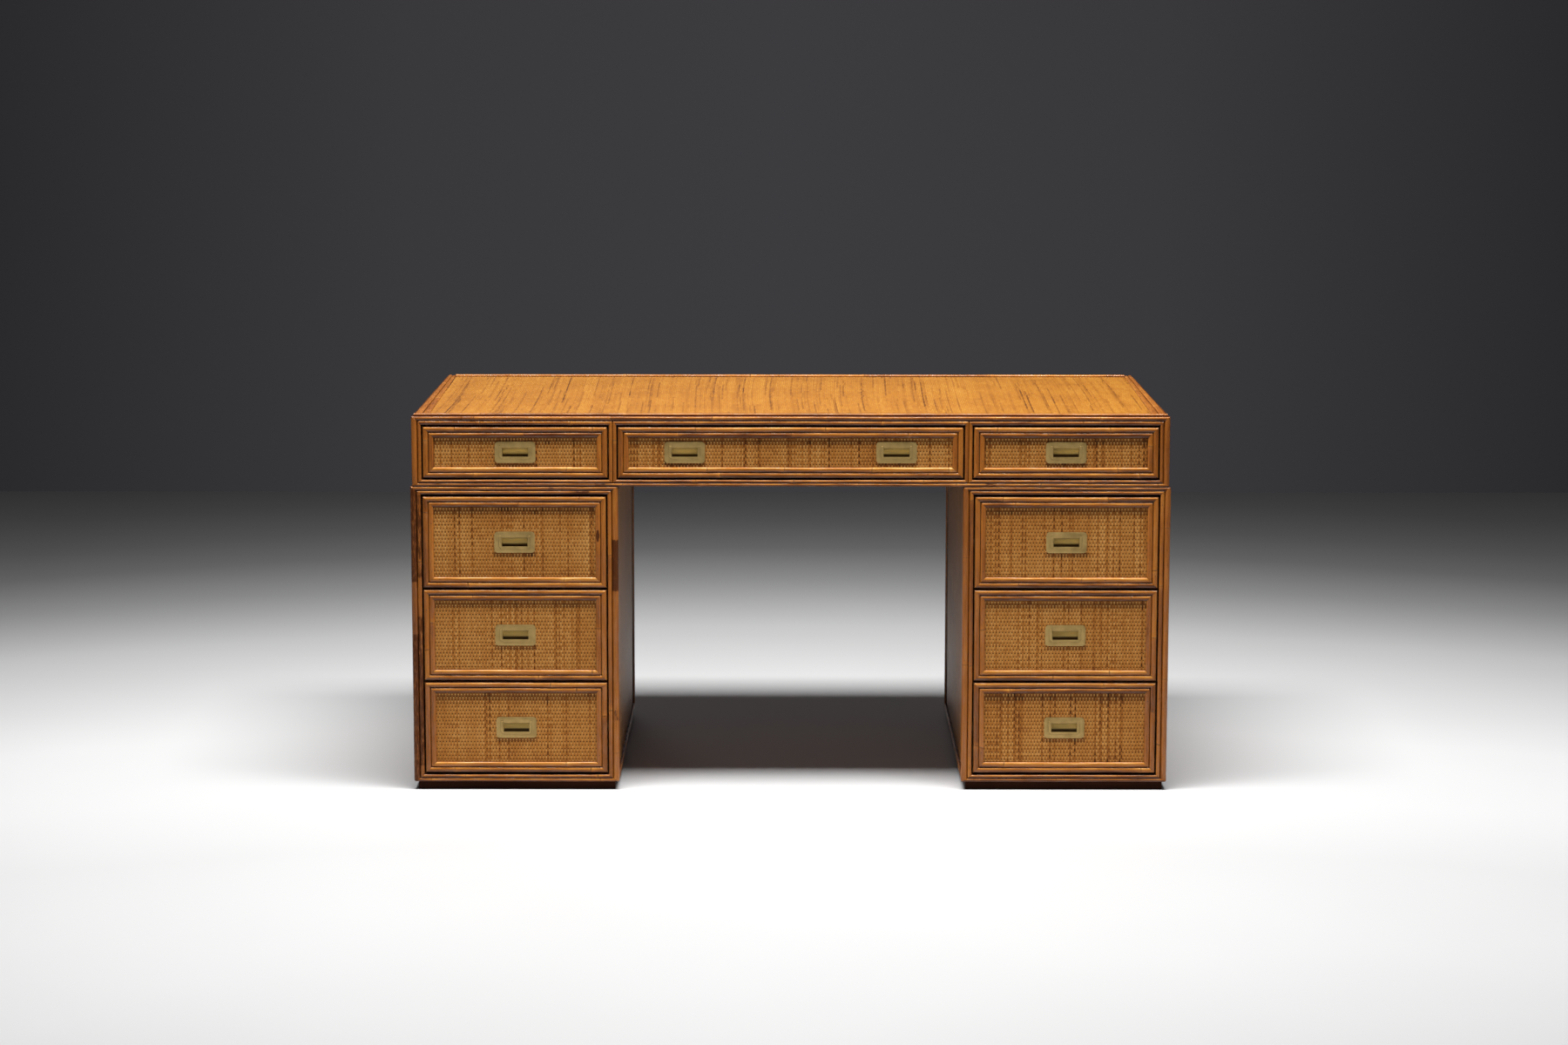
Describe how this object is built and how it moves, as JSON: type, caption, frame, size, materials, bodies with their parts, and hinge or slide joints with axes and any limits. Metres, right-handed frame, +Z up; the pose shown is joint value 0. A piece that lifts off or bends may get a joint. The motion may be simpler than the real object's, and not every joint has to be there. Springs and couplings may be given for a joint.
{
  "type": "kneehole desk",
  "caption": "Kneehole desk on pedestals, faced with woven cane and framed with split canes, with sliding drawers and flush brass bail pulls.",
  "frame": {"origin": "on the floor under the middle of the desk", "axes": "+X to the user's right along the length, +Z up, the drawer fronts face -Y"},
  "size_m": [1.5, 0.75, 0.755],
  "materials": {
    "cane": "varnished, honey brown",
    "woven_cane": "satin, golden brown woven cane",
    "plinth": "dark stain, satin",
    "brass": "aged, satin",
    "runner_wood": "bare wood",
    "drawer_wood": "clear satin",
    "case_wood": "stained red brown, satin"
  },
  "bodies": {
    "case": {"upper_case_boards": "case_wood", "upper_case_canes": "cane", "upper_case_weave": "woven_cane", "desktop_weave": "woven_cane", "desktop_canes": "cane", "left_pedestal_boards": "case_wood", "left_pedestal_canes": "cane", "left_pedestal_weave": "woven_cane", "right_pedestal_boards": "case_wood", "right_pedestal_canes": "cane", "right_pedestal_weave": "woven_cane", "plinths": "plinth", "pedestal_dowels": "runner_wood", "drawer_runners": "runner_wood"},
    "upper_left_drawer": {"upper_left_drawer_box": "drawer_wood", "upper_left_drawer_canes": "cane", "upper_left_drawer_weave": "woven_cane", "upper_left_drawer_pull": "brass"},
    "upper_left_drawer_bail": {"upper_left_drawer_bail": "brass"},
    "upper_centre_drawer": {"upper_centre_drawer_box": "drawer_wood", "upper_centre_drawer_canes": "cane", "upper_centre_drawer_weave": "woven_cane", "upper_centre_drawer_pulls": "brass"},
    "upper_centre_drawer_left_bail": {"upper_centre_drawer_left_bail": "brass"},
    "upper_centre_drawer_right_bail": {"upper_centre_drawer_right_bail": "brass"},
    "upper_right_drawer": {"upper_right_drawer_box": "drawer_wood", "upper_right_drawer_canes": "cane", "upper_right_drawer_weave": "woven_cane", "upper_right_drawer_pull": "brass"},
    "upper_right_drawer_bail": {"upper_right_drawer_bail": "brass"},
    "left_bottom_drawer": {"left_bottom_drawer_box": "drawer_wood", "left_bottom_drawer_canes": "cane", "left_bottom_drawer_weave": "woven_cane", "left_bottom_drawer_pull": "brass"},
    "left_bottom_drawer_bail": {"left_bottom_drawer_bail": "brass"},
    "left_middle_drawer": {"left_middle_drawer_box": "drawer_wood", "left_middle_drawer_canes": "cane", "left_middle_drawer_weave": "woven_cane", "left_middle_drawer_pull": "brass"},
    "left_middle_drawer_bail": {"left_middle_drawer_bail": "brass"},
    "left_top_drawer": {"left_top_drawer_box": "drawer_wood", "left_top_drawer_canes": "cane", "left_top_drawer_weave": "woven_cane", "left_top_drawer_pull": "brass"},
    "left_top_drawer_bail": {"left_top_drawer_bail": "brass"},
    "right_bottom_drawer": {"right_bottom_drawer_box": "drawer_wood", "right_bottom_drawer_canes": "cane", "right_bottom_drawer_weave": "woven_cane", "right_bottom_drawer_pull": "brass"},
    "right_bottom_drawer_bail": {"right_bottom_drawer_bail": "brass"},
    "right_middle_drawer": {"right_middle_drawer_box": "drawer_wood", "right_middle_drawer_canes": "cane", "right_middle_drawer_weave": "woven_cane", "right_middle_drawer_pull": "brass"},
    "right_middle_drawer_bail": {"right_middle_drawer_bail": "brass"},
    "right_top_drawer": {"right_top_drawer_box": "drawer_wood", "right_top_drawer_canes": "cane", "right_top_drawer_weave": "woven_cane", "right_top_drawer_pull": "brass"},
    "right_top_drawer_bail": {"right_top_drawer_bail": "brass"}
  },
  "joints": [
    {"name": "upper_left_drawer_slide", "type": "slide", "parent": "case", "child": "upper_left_drawer", "axis": [0, -1, 0], "range_m": [0, 0.5]},
    {"name": "upper_left_drawer_bail_hinge", "type": "hinge", "parent": "upper_left_drawer", "child": "upper_left_drawer_bail", "pos_m": [-0.54225, -0.3708, 0.68975], "axis": [-1, 0, 0], "range_deg": [0, 90]},
    {"name": "upper_centre_drawer_slide", "type": "slide", "parent": "case", "child": "upper_centre_drawer", "axis": [0, -1, 0], "range_m": [0, 0.5]},
    {"name": "upper_centre_drawer_left_bail_hinge", "type": "hinge", "parent": "upper_centre_drawer", "child": "upper_centre_drawer_left_bail", "pos_m": [-0.2085, -0.3708, 0.68975], "axis": [-1, 0, 0], "range_deg": [0, 90]},
    {"name": "upper_centre_drawer_right_bail_hinge", "type": "hinge", "parent": "upper_centre_drawer", "child": "upper_centre_drawer_right_bail", "pos_m": [0.2085, -0.3708, 0.68975], "axis": [-1, 0, 0], "range_deg": [0, 90]},
    {"name": "upper_right_drawer_slide", "type": "slide", "parent": "case", "child": "upper_right_drawer", "axis": [0, -1, 0], "range_m": [0, 0.5]},
    {"name": "upper_right_drawer_bail_hinge", "type": "hinge", "parent": "upper_right_drawer", "child": "upper_right_drawer_bail", "pos_m": [0.54225, -0.3708, 0.68975], "axis": [-1, 0, 0], "range_deg": [0, 90]},
    {"name": "left_bottom_drawer_slide", "type": "slide", "parent": "case", "child": "left_bottom_drawer", "axis": [0, -1, 0], "range_m": [0, 0.5]},
    {"name": "left_bottom_drawer_bail_hinge", "type": "hinge", "parent": "left_bottom_drawer", "child": "left_bottom_drawer_bail", "pos_m": [-0.545, -0.3708, 0.13808], "axis": [-1, 0, 0], "range_deg": [0, 90]},
    {"name": "left_middle_drawer_slide", "type": "slide", "parent": "case", "child": "left_middle_drawer", "axis": [0, -1, 0], "range_m": [0, 0.5]},
    {"name": "left_middle_drawer_bail_hinge", "type": "hinge", "parent": "left_middle_drawer", "child": "left_middle_drawer_bail", "pos_m": [-0.545, -0.3708, 0.3245], "axis": [-1, 0, 0], "range_deg": [0, 90]},
    {"name": "left_top_drawer_slide", "type": "slide", "parent": "case", "child": "left_top_drawer", "axis": [0, -1, 0], "range_m": [0, 0.5]},
    {"name": "left_top_drawer_bail_hinge", "type": "hinge", "parent": "left_top_drawer", "child": "left_top_drawer_bail", "pos_m": [-0.545, -0.3708, 0.51092], "axis": [-1, 0, 0], "range_deg": [0, 90]},
    {"name": "right_bottom_drawer_slide", "type": "slide", "parent": "case", "child": "right_bottom_drawer", "axis": [0, -1, 0], "range_m": [0, 0.5]},
    {"name": "right_bottom_drawer_bail_hinge", "type": "hinge", "parent": "right_bottom_drawer", "child": "right_bottom_drawer_bail", "pos_m": [0.545, -0.3708, 0.13808], "axis": [-1, 0, 0], "range_deg": [0, 90]},
    {"name": "right_middle_drawer_slide", "type": "slide", "parent": "case", "child": "right_middle_drawer", "axis": [0, -1, 0], "range_m": [0, 0.5]},
    {"name": "right_middle_drawer_bail_hinge", "type": "hinge", "parent": "right_middle_drawer", "child": "right_middle_drawer_bail", "pos_m": [0.545, -0.3708, 0.3245], "axis": [-1, 0, 0], "range_deg": [0, 90]},
    {"name": "right_top_drawer_slide", "type": "slide", "parent": "case", "child": "right_top_drawer", "axis": [0, -1, 0], "range_m": [0, 0.5]},
    {"name": "right_top_drawer_bail_hinge", "type": "hinge", "parent": "right_top_drawer", "child": "right_top_drawer_bail", "pos_m": [0.545, -0.3708, 0.51092], "axis": [-1, 0, 0], "range_deg": [0, 90]}
  ]
}
